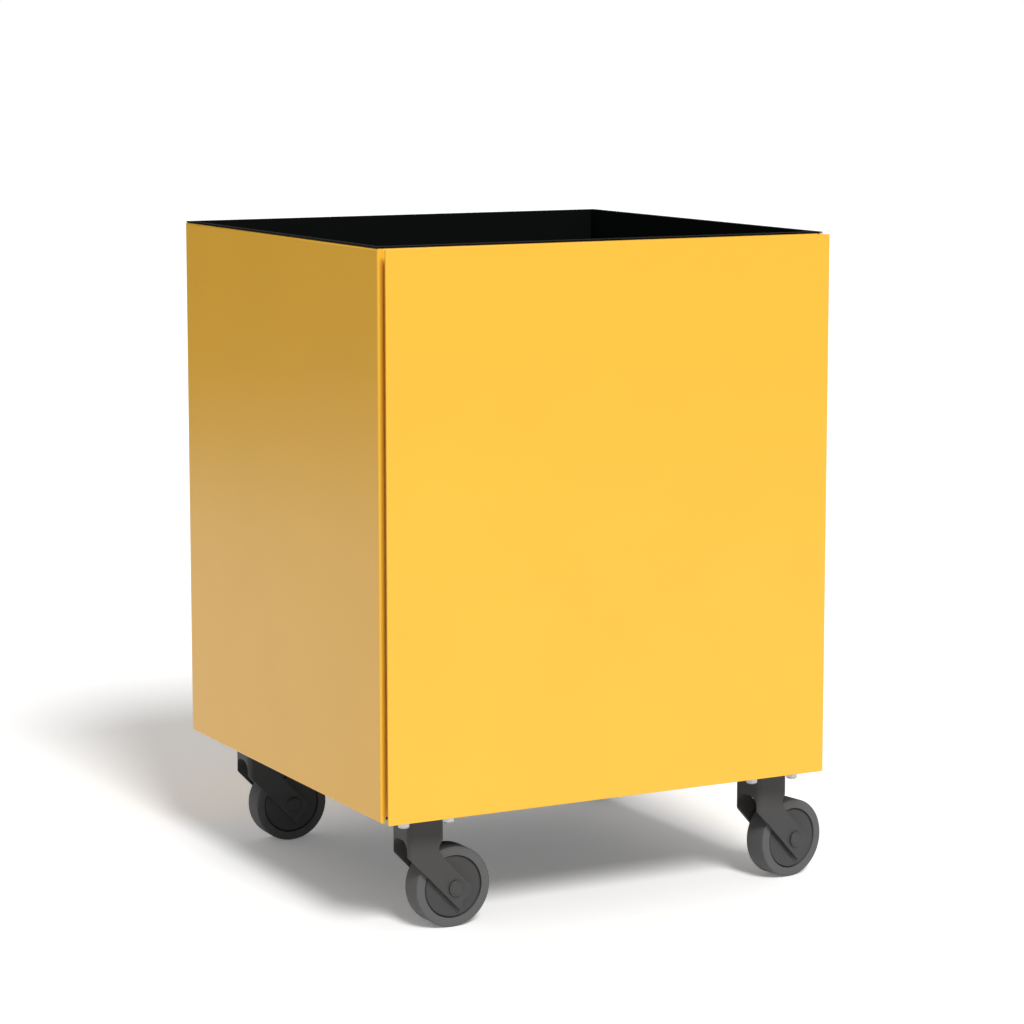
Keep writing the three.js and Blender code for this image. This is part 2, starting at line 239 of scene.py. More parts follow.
def set_out_tree() -> FormTree:
    """The tree that sets a copy of Part on each vertex of the mesh it starts from."""
    tree = FormTree("set_out", {"Part": "NodeSocketObject"})
    part = tree.node(
        "GeometryNodeObjectInfo",
        inputs={"Object": tree.given("Part"), "As Instance": True},
        output="Geometry",
    )
    tree.end(
        tree.node("GeometryNodeInstanceOnPoints", inputs={"Points": tree.given("Geometry"), "Instance": part})
    )
    return tree


def ball_ring_tree() -> FormTree:
    """The tree that sets Count balls of radius Ball on a circle of radius Radius at height Height."""
    lengths = dict.fromkeys(("Radius", "Ball", "Height"), "NodeSocketFloat")
    tree = FormTree("ball_ring", {**lengths, "Count": "NodeSocketInt"})
    circle = tree.node(
        "GeometryNodeMeshCircle", inputs={"Vertices": tree.given("Count"), "Radius": tree.given("Radius")}
    )
    ball = tree.node("GeometryNodeMeshIcoSphere", inputs={"Radius": tree.given("Ball"), "Subdivisions": 2})
    smooth = tree.node("GeometryNodeSetShadeSmooth", inputs={"Geometry": ball})
    ring = tree.node("GeometryNodeInstanceOnPoints", inputs={"Points": circle, "Instance": smooth})
    lift = tree.node("ShaderNodeCombineXYZ", inputs={"Z": tree.given("Height")})
    tree.end(tree.node("GeometryNodeTransform", inputs={"Geometry": ring, "Translation": lift}))
    return tree


# ------------------------------------------------------------
# Finishes
# ------------------------------------------------------------


def new_material(name: str) -> tuple[Material, Tree]:
    """A new material and its empty tree."""
    made = bpy.data.materials.new(name)
    made.use_nodes = True
    return made, Tree(made.node_tree)


@dataclass(frozen=True)
class Finish:
    """A surface with a fine grain: its colour drifts a little, and its grain is in bump and roughness."""

    name: str
    colour: Colour
    roughness: float
    metallic: float = 0.0
    specular: float = 0.5
    grain_per_metre: float = 900.0
    grain_detail: float = 2.0
    grain_depth: float = 0.05 * MM
    grain_strength: float = 0.2
    drift: float = 0.03
    drift_per_metre: float = 9.0
    drift_detail: float = 3.0
    roughness_swing: float = 0.08

    def material(self) -> Material:
        """Builds the material."""
        made, tree = new_material(self.name)
        place = tree.node("ShaderNodeTexCoord", output="Object")
        grain = self.grain(tree, place)
        patches = tree.node(
            "ShaderNodeTexNoise",
            inputs={"Vector": place, "Scale": self.drift_per_metre, "Detail": self.drift_detail},
        )
        level = patches * (2 * self.drift) + (1 - self.drift)
        tint = tree.node(
            "ShaderNodeVectorMath", {"operation": "SCALE"}, {0: self.colour, "Scale": level}, output="Vector"
        )
        normal = tree.node(
            "ShaderNodeBump",
            inputs={"Strength": self.grain_strength, "Distance": self.grain_depth, "Height": grain},
        )
        surface = tree.node(
            "ShaderNodeBsdfPrincipled",
            inputs={
                "Base Color": tint,
                "Metallic": self.metallic,
                "Roughness": (grain - 0.5) * self.roughness_swing + self.roughness,
                "Specular IOR Level": self.specular,
                "Normal": normal,
            },
        )
        tree.node("ShaderNodeOutputMaterial", inputs={"Surface": surface})
        return made

    def grain(self, tree: Tree, place: Link) -> Link:
        """The height of the grain, from 0 to 1."""
        return tree.node(
            "ShaderNodeTexNoise",
            inputs={"Vector": place, "Scale": self.grain_per_metre, "Detail": self.grain_detail},
        )


@dataclass(frozen=True)
class Moulded(Finish):
    """Moulded plastic or rubber: a coarse mould grain with a finer one over it."""

    fine_per_metre: float = 4200.0
    fine_share: float = 0.4

    def grain(self, tree: Tree, place: Link) -> Link:
        """The height of the grain, from 0 to 1."""
        coarse = super().grain(tree, place)
        fine = tree.node("ShaderNodeTexNoise", inputs={"Vector": place, "Scale": self.fine_per_metre})
        return coarse * (1 - self.fine_share) + fine * self.fine_share


YELLOW_COAT = Finish("yellow_powder_coat", colour=(0.95, 0.52, 0.046), roughness=0.3, specular=0.48)
BLACK_COAT = Finish("black_powder_coat", colour=(0.0014, 0.002, 0.0019), roughness=0.6, specular=0.1)
ZINC = Finish("bright_zinc", colour=(0.56, 0.57, 0.58), roughness=0.34, metallic=1.0, drift=0.06)
NYLON = Moulded("dark_nylon", colour=(0.049, 0.049, 0.05), roughness=0.55, grain_depth=0.08 * MM)
DISC = Moulded("wheel_centre", colour=(0.043, 0.043, 0.044), roughness=0.5, grain_depth=0.06 * MM)
RUBBER = Moulded("grey_rubber", colour=(0.104, 0.104, 0.106), roughness=0.72, grain_depth=0.1 * MM)


@dataclass(frozen=True)
class Finishes:
    """The materials of the planter."""

    coat: Material
    black: Material
    zinc: Material
    nylon: Material
    disc: Material
    tread: Material

    @classmethod
    def make(cls) -> Finishes:
        """Builds every material."""
        return cls(
            coat=YELLOW_COAT.material(),
            black=BLACK_COAT.material(),
            zinc=ZINC.material(),
            nylon=NYLON.material(),
            disc=DISC.material(),
            tread=RUBBER.material(),
        )


# ------------------------------------------------------------
# Meshes
# ------------------------------------------------------------


def placed(name: str, data: ID) -> Object:
    """A new object in the scene, which holds a mesh, a lamp or a camera."""
    made = bpy.data.objects.new(name, data)
    bpy.context.scene.collection.objects.link(made)
    return made


@contextmanager
def held(mesh: Mesh) -> Iterator[Object]:
    """An object that holds a mesh while other work needs it, and is removed after that."""
    host = placed("host", mesh)
    try:
        yield host
    finally:
        bpy.data.objects.remove(host)


def evaluated(host: Object) -> Mesh:
    """A plain mesh of what an object's modifiers make of it."""
    graph = bpy.context.evaluated_depsgraph_get()
    return bpy.data.meshes.new_from_object(host.evaluated_get(graph), depsgraph=graph)


def from_bmesh(form: BMesh) -> Mesh:
    """A mesh of a bmesh, which is then freed."""
    mesh = bpy.data.meshes.new("form")
    form.to_mesh(mesh)
    form.free()
    return mesh


def facing_out(mesh: Mesh) -> Mesh:
    """Turns every closed shell's faces outwards."""
    form = bmesh.new()
    form.from_mesh(mesh)
    bmesh.ops.recalc_face_normals(form, faces=form.faces)
    form.to_mesh(mesh)
    form.free()
    return mesh


def joined(meshes: Iterable[Mesh]) -> Mesh:
    """One mesh of several that share a material."""
    form = bmesh.new()
    source = list(meshes)
    for mesh in source:
        form.from_mesh(mesh)
    whole = from_bmesh(form)
    whole.materials.append(source[0].materials[0])
    return whole


def points_mesh(points: Iterable[Sequence[float]], closed: bool | None = None) -> Mesh:
    """A mesh of points alone, or of a line through them.

    Args:
        points: The points.
        closed: None for points alone, else whether the line returns to its first point.

    Returns:
        The mesh.
    """
    places = [Vector(point) for point in points]
    edges = [] if closed is None else [(i, i + 1) for i in range(len(places) - 1)]
    if closed:
        edges.append((len(places) - 1, 0))
    mesh = bpy.data.meshes.new("points")
    mesh.from_pydata(places, edges, [])
    return mesh


def arc(centre: Point, radius: float, start: float, end: float, steps: int) -> list[Point]:
    """Points on an arc, both ends included.

    Args:
        centre: The arc's centre.
        radius: Its radius.
        start: The angle it starts at, in radians.
        end: The angle it ends at.
        steps: How many straight steps it is cut into.

    Returns:
        The points.
    """
    angles = [start + (end - start) * i / steps for i in range(steps + 1)]
    return [(centre[0] + radius * math.cos(a), centre[1] + radius * math.sin(a)) for a in angles]


def round_hole(centre: Point, radius: float, sides: int = 32) -> list[Point]:
    """The outline of a round hole, drawn with straight sides."""
    return arc(centre, radius, 0, 2 * math.pi * (sides - 1) / sides, sides - 1)


def bend(start: Point, control: Point, end: Point, steps: int) -> list[Point]:
    """Points on a quadratic curve after its start, its end included."""
    made = []
    for i in range(1, steps + 1):
        t = i / steps
        a, b, c = (1 - t) ** 2, 2 * t * (1 - t), t**2
        made.append(tuple(a * p + b * q + c * r for p, q, r in zip(start, control, end)))
    return made


def rounded(corners: Sequence[Point3], steps: int = 5) -> list[Point]:
    """A closed line whose corners are rounded.

    Args:
        corners: Each corner's two coordinates and its radius, where 0 keeps it sharp.
        steps: How many straight steps each rounding is cut into.

    Returns:
        The line's points.
    """
    line: list[Point] = []
    count = len(corners)
    for i, (x, y, radius) in enumerate(corners):
        if radius == 0:
            line.append((x, y))
            continue
        here = Vector((x, y))
        before = (Vector(corners[i - 1][:2]) - here).normalized()
        after = (Vector(corners[(i + 1) % count][:2]) - here).normalized()
        half = before.angle(after) / 2
        reach = radius / math.tan(half)
        start, end = here + before * reach, here + after * reach
        line.append(tuple(start))
        line.extend(bend(tuple(start), (x, y), tuple(end), steps))
    return line


def prism(outline: Sequence[Point], low: float, high: float, plane: Plane = Plane.FLAT) -> Mesh:
    """A flat outline made solid.

    Args:
        outline: The outline's points in its own plane.
        low: Where the solid starts, across that plane.
        high: Where it ends.
        plane: The plane that the outline stands in.

    Returns:
        The solid's mesh.
    """
    form = bmesh.new()
    face = form.faces.new([form.verts.new((x, y, low)) for x, y in outline])
    raised = bmesh.ops.extrude_face_region(form, geom=[face])["geom"]
    verts = [item for item in raised if isinstance(item, BMVert)]
    bmesh.ops.translate(form, verts=verts, vec=(0, 0, high - low))
    bmesh.ops.transform(form, matrix=plane.value, verts=form.verts)
    bmesh.ops.recalc_face_normals(form, faces=form.faces)
    return from_bmesh(form)


def brick(low: Vector, high: Vector) -> BMesh:
    """A box between two corners, as a bmesh."""
    form = bmesh.new()
    bmesh.ops.create_cube(form, size=1.0)
    bmesh.ops.scale(form, vec=high - low, verts=form.verts)
    bmesh.ops.translate(form, vec=(low + high) / 2, verts=form.verts)
    return form


def finished(mesh: Mesh, steps: Sequence[Step]) -> Mesh:
    """Runs modifiers on a mesh, smooths it and keeps its sharp edges.

    Args:
        mesh: The mesh to finish.
        steps: The modifiers in order.

    Returns:
        The finished plain mesh.
    """
    with held(mesh) as host:
        for kind, settings in steps:
            modifier = host.modifiers.new(kind.lower(), kind)
            for name, value in settings.items():
                setattr(modifier, name, value)
        made = evaluated(host)
    made.shade_smooth()
    made.set_sharp_from_angle(angle=math.radians(SHARP_FROM))
    return made


def evened(mesh: Mesh) -> Mesh:
    """Weights a mesh's normals by face area, so that wide flats stay flat beside rounded edges."""
    with held(mesh) as host:
        host.modifiers.new("normals", "WEIGHTED_NORMAL").keep_sharp = True
        return evaluated(host)


def cut_from(base: Mesh, tools: Sequence[tuple[str, Mesh]], *steps: Step) -> Mesh:
    """Joins, crosses or cuts a solid with others, then finishes it.

    Args:
        base: The solid to start from.
        tools: Each operation and the solid that it takes.
        steps: The modifiers that follow.

    Returns:
        The finished mesh.
    """
    with ExitStack() as stack:
        booleans = []
        for operation, mesh in tools:
            helper = stack.enter_context(held(mesh))
            booleans.append(("BOOLEAN", {"operation": operation, "solver": "EXACT", "object": helper}))
        return finished(base, [*booleans, *steps])


def edge_rounding(width: float, segments: int = 3) -> Step:
    """The modifier that rounds a mesh's edges, in this many strips and this far from each edge."""
    settings = {
        "width": width,
        "segments": segments,
        "limit_method": "ANGLE",
        "angle_limit": math.radians(ROUNDED_FROM),
        "use_clamp_overlap": True,
        "miter_outer": "MITER_ARC",
    }
    return ("BEVEL", settings)


def show(
    name: str,
    mesh: Mesh,
    material: Material,
    body: str,
    replaces: Sequence[str],
) -> None:
    """Shows a finished mesh as a piece that stands for solids and rides on their body.

    Args:
        name: The piece's name.
        mesh: Its mesh, already in its place.
        material: Its finish.
        body: The body that it rides on.
        replaces: The nodes that it stands for.
    """
    mesh.name = name
    mesh.materials.clear()
    mesh.materials.append(material)
    made = placed(name, mesh)
    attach(made, body)
    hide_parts(*replaces)
    LOG.info("%s: %d faces, rides on %s", name, len(mesh.polygons), body)


def size_of(node: str) -> tuple[Vector, Vector]:
    """The middle and the size of a node's box."""
    low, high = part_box(node)
    return (low + high) / 2, high - low


def middle_of(node: str) -> Vector:
    """The middle of a node's box."""
    return size_of(node)[0]


def plan_places(nodes: Sequence[str]) -> list[Point3]:
    """Where nodes stand in plan, on the ground."""
    return [(middle_of(node).x, middle_of(node).y, 0) for node in nodes]


# ------------------------------------------------------------
# The box of the planter
# ------------------------------------------------------------


@dataclass(frozen=True)
class FoldedPanel:
    """A sheet folded back along its four edges, with the size and place of one solid."""

    node: str
    facing: Facing
    sheet: float = 1.5 * MM
    radius: float = 2.0 * MM
    segments: int = 6

    def build(self, coat: Material) -> None:
        """Bends the sheet and shows it in its coat."""
        middle, size = size_of(self.node)
        turned_side = self.facing in (Facing.LEFT, Facing.RIGHT)
        width, depth = (size.y, size.x) if turned_side else (size.x, size.y)
        half = Vector((width / 2, depth / 2, size.z / 2))
        form = brick(-half, half)
        opening = max(form.faces, key=lambda face: face.calc_center_median().y)
        bmesh.ops.delete(form, geom=[opening], context="FACES_ONLY")
        folds = [edge for edge in form.edges if all(vert.co.y < 0 for vert in edge.verts)]
        bmesh.ops.bevel(
            form, geom=folds, offset=self.radius, segments=self.segments, profile=0.5, affect="EDGES"
        )
        thicken = ("SOLIDIFY", {"thickness": self.sheet, "offset": -1.0, "use_even_offset": True})
        mesh = evened(finished(from_bmesh(form), [thicken]))
        turn = Matrix.Rotation(math.radians(self.facing.value), 4, "Z")
        mesh.transform(Matrix.Translation(middle) @ turn)
        show(self.node.replace("panel", "sheet"), mesh, coat, "body", [self.node])


@dataclass(frozen=True)
class FrontPlate:
    """The flat plate that stands off the front, with eased edges."""

    edge: float = 0.6 * MM

    def build(self, coat: Material) -> None:
        """Cuts the plate and shows it."""
        mesh = finished(from_bmesh(brick(*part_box("front_panel"))), [edge_rounding(self.edge)])
        show("front_plate", evened(mesh), coat, "body", ["front_panel"])


@dataclass(frozen=True)
class Liner:
    """A straight-walled tub with a thin lip that reaches out over the rim of the panels."""

    wall: float = 1.5 * MM
    lip: float = 1.2 * MM
    side_reach: float = 5.2 * MM
    front_reach: float = 8.9 * MM
    edge: float = 0.35 * MM
    edge_segments: int = 2

    def build(self, black: Material) -> None:
        """Joins six level rings, from the inner floor over the lip to the underside, and shows the tub."""
        low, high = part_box("liner")
        form = bmesh.new()
        tub_low = low + Vector((self.side_reach, self.front_reach, 0))
        tub_high = high - Vector((self.side_reach, self.side_reach, 0))
        inner = Vector((self.wall, self.wall, 0))
        under = high.z - self.lip
        rings = [
            self._ring(form, tub_low + inner, tub_high - inner, low.z + self.wall),
            self._ring(form, tub_low + inner, tub_high - inner, high.z),
            self._ring(form, low, high, high.z),
            self._ring(form, low, high, under),
            self._ring(form, tub_low, tub_high, under),
            self._ring(form, tub_low, tub_high, low.z),
        ]
        for near, far in zip(rings, rings[1:]):
            for i in range(4):
                form.faces.new((near[i], near[i - 1], far[i - 1], far[i]))
        form.faces.new(rings[0])
        form.faces.new(rings[-1])
        bmesh.ops.recalc_face_normals(form, faces=form.faces)
        mesh = evened(finished(from_bmesh(form), [edge_rounding(self.edge, self.edge_segments)]))
        show("liner_tub", mesh, black, "liner", ["liner"])

    @staticmethod
    def _ring(form: BMesh, low: Vector, high: Vector, z: float) -> list[BMVert]:
        """Adds the four corners of a level rectangle."""
        corners = ((low.x, low.y), (high.x, low.y), (high.x, high.y), (low.x, high.y))
        return [form.verts.new((x, y, z)) for x, y in corners]


# ------------------------------------------------------------
# Turned and repeated hardware
# ------------------------------------------------------------


class Workshop:
    """Makes turned parts and sets out repeated ones with the geometry trees."""

    SHARP_FROM = 38.0  # degrees between faces past which a turned part's edge stays sharp
    CHAMFER = 0.09  # a hexagon's chamfer along its axis, as a share of its radius
    CHAMFER_SLOPE = 1.6  # and how much further it reaches across

    def __init__(self) -> None:
        """Builds the trees."""
        self.turning = turned_tree()
        self.setting_out = set_out_tree()
        self.balls = ball_ring_tree()

    def turn(
        self, profile: Sequence[Point], material: Material, segments: int = 96, closed: bool = True
    ) -> Mesh:
        """Turns a profile about +Z.

        Args:
            profile: Points of radius and height.
            material: The part's finish.
            segments: How many flats the turned part has.
            closed: Whether the profile returns to its first point, as a ring's does.

        Returns:
            The turned part.
        """
        reference = max(radius for radius, _ in profile)
        line = points_mesh([(radius - reference, -height, 0) for radius, height in profile], closed)
        made = self.turning.run(line, Radius=reference, Segments=segments, Material=material)
        made.set_sharp_from_angle(angle=math.radians(self.SHARP_FROM))
        return made

    def set_out(self, part: Mesh, places: Iterable[Sequence[float]], material: Material) -> Mesh:
        """Sets a copy of a part on each place, as one mesh."""
        with held(part) as source:
            made = self.setting_out.run(points_mesh(places), Part=source, Material=material)
        made.set_sharp_from_angle(angle=math.radians(self.SHARP_FROM))
        return made

    def ring(
        self, bore: float, outer: Sequence[Point3], material: Material, segments: int, steps: int = 2
    ) -> Mesh:
        """A ring about +Z.

        Args:
            bore: The radius of its hole.
            outer: Its two outer corners from below: radius, height and rounding.
            material: Its finish.
            segments: How many flats it has.
            steps: How many straight steps each rounding is cut into.

        Returns:
            The ring.
        """
        low, high = outer[0][1], outer[-1][1]
        return self.turn(rounded([(bore, low, 0), *outer, (bore, high, 0)], steps), material, segments)

    def hexagon(
        self, radius: float, low: float, high: float, material: Material, bore: float = 0.0
    ) -> Mesh:
        """A hexagon nut or head with chamfered corners.

        Args:
            radius: Half of its width over corners.
            low: Where it starts.
            high: Where it ends.
            material: Its finish.
            bore: The radius of its hole, or 0 for a head.

        Returns:
            The hexagon.
        """
        rise = self.CHAMFER * radius
        flat = radius - self.CHAMFER_SLOPE * rise
        side = [(radius, low + rise), (radius, high - rise)]
        profile = [(bore, low), (flat, low), *side, (flat, high), (bore, high)]
        return self.turn(profile, material, 6, closed=bore > 0)


@dataclass(frozen=True)
class CastorBolts:
    """The sixteen bolts that hold the castors, each with its washer and lock nut."""

    hexagon: float = 5.77 * MM
    shank: float = 3.0 * MM
    head_height: float = 4.0 * MM
    washer: float = 6.0 * MM
    washer_height: float = 1.6 * MM
    nut_height: float = 5.2 * MM
    collar: float = 4.7 * MM
    collar_height: float = 1.0 * MM
    tip: float = 0.5 * MM
    collar_edge: float = 0.5 * MM
    washer_edge: float = 0.3 * MM

    def build(self, shop: Workshop, zinc: Material) -> None:
        """Makes one bolt, sets it out on all sixteen places and shows them as one piece."""
        nodes = [f"castor_{corner.value}_bolt_{i}" for corner in Corner for i in range(1, 5)]
        low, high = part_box(nodes[0])
        head = high.z - self.head_height
        collar_top = low.z + self.collar_height
        nut_top = collar_top + self.nut_height
        washer_top = nut_top + self.washer_height
        washer = [(self.washer, z, self.washer_edge) for z in (nut_top, washer_top)]
        collar = [(self.collar, low.z + self.tip, self.collar_edge), (self.collar, collar_top, 0)]
        bolt = joined(
            [
                self._shank(shop, zinc, low.z, head),
                shop.hexagon(self.hexagon, head, high.z, zinc),
                shop.ring(self.shank, washer, zinc, segments=32),
                shop.hexagon(self.hexagon, collar_top, nut_top, zinc, self.shank),
                shop.ring(self.shank, collar, zinc, segments=28, steps=3),
            ]
        )
        mesh = shop.set_out(bolt, plan_places(nodes), zinc)
        show("castor_bolts", mesh, zinc, "body", nodes)

    def _shank(self, shop: Workshop, zinc: Material, low: float, high: float) -> Mesh:
        """The shank with its chamfered tip. It shows no thread."""
        radius, tip = self.shank, self.tip
        profile = [(0, low), (radius - tip, low), (radius, low + tip), (radius, high), (0, high)]
        return shop.turn(profile, zinc, segments=24, closed=False)


@dataclass(frozen=True)
class FrontFixings:
    """Spacer sleeves and studs with nuts, which hold the front plate off the body."""

    sleeve: float = 7.0 * MM
    bore: float = 3.4 * MM
    stud: float = 3.0 * MM
    hexagon: float = 5.77 * MM
    nut_height: float = 5.0 * MM
    tail: float = 0.8 * MM
    sleeve_edge: float = 0.4 * MM

    def build(self, shop: Workshop, zinc: Material) -> None:
        """Makes one sleeve and one stud, sets them out on the four places and shows them as two pieces."""
        ends = [f"{level}_{side}" for level in ("lower", "upper") for side in ("left", "right")]
        along = Matrix.Rotation(-math.pi / 2, 4, "X")
        for kind, maker in (("spacer", self._sleeve), ("stud", self._stud)):
            nodes = [f"front_{kind}_{end}" for end in ends]
            low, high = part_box(nodes[0])
            part = maker(shop, zinc, low.y, high.y)
            part.transform(along)
            places = [(middle_of(node).x, 0, middle_of(node).z) for node in nodes]
            show(f"front_{kind}s", shop.set_out(part, places, zinc), zinc, "body", nodes)

    def _sleeve(self, shop: Workshop, zinc: Material, low: float, high: float) -> Mesh:
        """A spacer sleeve along +Z, with eased ends."""
        outer = [(self.sleeve, z, self.sleeve_edge) for z in (low, high)]
        return shop.ring(self.bore, outer, zinc, segments=40)

    def _stud(self, shop: Workshop, zinc: Material, low: float, high: float) -> Mesh:
        """A stud along +Z with its nut near its end."""
        nut_end = high - self.tail
        profile = [(0, low), (self.stud, low), (self.stud, high), (0, high)]
        shank = shop.turn(profile, zinc, segments=24, closed=False)
        nut = shop.hexagon(self.hexagon, nut_end - self.nut_height, nut_end, zinc, self.stud)
        return joined([shank, nut])


@dataclass(frozen=True)
class BallRaces:
    """The four swivel races: two cups with a ring of balls between them."""

    ball: float = 1.15 * MM
    count: int = 26
    inset: float = 2.4 * MM
    opening: float = 1.6  # between the cups, in ball radii
    bore: float = 5.7 * MM
    edge: float = 0.4 * MM

    def build(self, shop: Workshop, zinc: Material) -> None:
        """Makes one race, sets it out on the four kingpins and shows them as one piece."""
        nodes = [f"castor_{corner.value}_race" for corner in Corner]
        middle, size = size_of(nodes[0])
        radius = size.x / 2
        cup = (size.z - self.opening * self.ball) / 2
        low, high = middle.z - size.z / 2, middle.z + size.z / 2
        cups = [
            shop.ring(self.bore, [(radius, z, self.edge) for z in span], zinc, segments=56)
            for span in ((low, low + cup), (high - cup, high))
        ]
        balls = shop.balls.run(
            points_mesh([(0, 0, 0)]),
            Radius=radius - self.inset,
            Count=self.count,
            Ball=self.ball,
            Height=middle.z,
            Material=zinc,
        )
        mesh = shop.set_out(joined([*cups, balls]), plan_places(nodes), zinc)
        show("castor_ball_races", mesh, zinc, "body", nodes)


# ------------------------------------------------------------
# Castor
# ------------------------------------------------------------


@dataclass(frozen=True)
class ForkForm:
    """The moulded fork, with the kingpin's axis at x = 0 and the wheel's trailing along +X."""

    trail: float = 32.5 * MM
    axle_height: float = 37.5 * MM
    width: float = 34.0 * MM
    arm: float = 3.6 * MM
    front: float = -15.5 * MM
    back: float = 21.2 * MM
    top: float = 104.0 * MM
    arch_top: float = 85.0 * MM
    arch_radius: float = 9.0 * MM
    corner: float = 5.0 * MM
    back_corner: float = 5.0 * MM
    slope: float = 46.4  # degrees that the arms point down
    arm_half_width: float = 11.5 * MM
    tip_radius: float = 15.5 * MM
    tip_from: float = -60.0  # degrees at which the tip's rounding starts
    heel: float = 18.5 * MM
    edge: float = 0.8 * MM
    pin_bore: float = 5.5 * MM
    axle_bore: float = 4.5 * MM

    # The neck, up from the arms into the crown: x from the crown's back, z from the arch's top.
    arm_start: float = -1.5 * MM
    neck_bend: Point = (-6.0 * MM, -11.5 * MM)
    neck_hollow: Point = (-5.8 * MM, -8.5 * MM)
    neck_flare: Point = (-5.4 * MM, -3.5 * MM)
    neck_end: Point = (0.0, -1.0 * MM)

    def side_outline(self) -> list[Point]:
        """The fork's outline from the side, in x and z: crown, neck, slanted arm and rounded tip."""
        slope = math.radians(self.slope)
        axle = Vector((self.trail, self.axle_height))
        along = Vector((math.cos(slope), -math.sin(slope)))
        across = Vector((math.sin(slope), math.cos(slope)))
        reach = math.sqrt(self.tip_radius**2 - self.arm_half_width**2)
        upper = axle + across * self.arm_half_width
        lower = axle - across * self.arm_half_width
        upper_end = upper + along * reach
        heel = lower + along * self.heel

        def height(line: Vector, x: float) -> float:
            return line.y + (x - line.x) * along.y / along.x

        def neck(place: Point) -> Point:
            return (self.back + place[0], self.arch_top + place[1])

        end = math.atan2(upper_end.y - axle.y, upper_end.x - axle.x)
        arm_start = self.back + self.arm_start
        arm_top = (arm_start, height(upper, arm_start))
        hollow = neck(self.neck_hollow)
        return [
            (self.front, self.top),
            (self.front, height(lower, self.front)),
            tuple(heel),
            *arc(tuple(axle), self.tip_radius, math.radians(self.tip_from), end, 24),
            arm_top,
            *bend(arm_top, neck(self.neck_bend), hollow, 8),
            *bend(hollow, neck(self.neck_flare), neck(self.neck_end), 8),
            (self.back, self.top),
        ]

    def crown_plan(self) -> list[Point]:
        """The crown from above, with rounded corners."""
        half = self.width / 2
        r, b = self.corner, self.back_corner
        quarter = math.pi / 2
        return [
            *arc((self.front + r, -half + r), r, 2 * quarter, 3 * quarter, 8),
            *arc((self.back - b, -half + b), b, -quarter, 0, 6),
            *arc((self.back - b, half - b), b, 0, quarter, 6),
            *arc((self.front + r, half - r), r, quarter, 2 * quarter, 8),
        ]

    def arch(self) -> list[Point]:
        """The passage that the wheel turns in, in y and z."""
        half = self.width / 2 - self.arm
        r = self.arch_radius
        quarter = math.pi / 2
        return [
            (-half, -self.axle_height),
            (half, -self.axle_height),
            *arc((half - r, self.arch_top - r), r, 0, quarter, 12),
            *arc((-half + r, self.arch_top - r), r, quarter, 2 * quarter, 12),
        ]

    def mesh(self) -> Mesh:
        """Crosses the side outline with the crown's plan and cuts the arch and the bores.

        Returns:
            The fork, in its own frame.
        """
        half = self.width / 2
        far = 4 * self.axle_height
        arms_from = self.back - self.back_corner - MM
        crown = prism(self.crown_plan(), -MM, 2 * self.top)
        arms_box = [(arms_from, -far), (far, -far), (far, far), (arms_from, far)]
        arms = prism(arms_box, -2 * MM, 2 * self.axle_height)
        pin_hole = round_hole((0, 0), self.pin_bore)
        axle_hole = round_hole((self.trail, self.axle_height), self.axle_bore)
        tools = [
            ("INTERSECT", cut_from(crown, [("UNION", arms)])),
            ("DIFFERENCE", prism(self.arch(), -far, far, Plane.END)),
            ("DIFFERENCE", prism(pin_hole, self.axle_height, 2 * self.top)),
            ("DIFFERENCE", prism(axle_hole, -far, far, Plane.SIDE)),
        ]
        side = prism(self.side_outline(), -half, half, Plane.SIDE)
        return evened(cut_from(side, tools, edge_rounding(self.edge)))


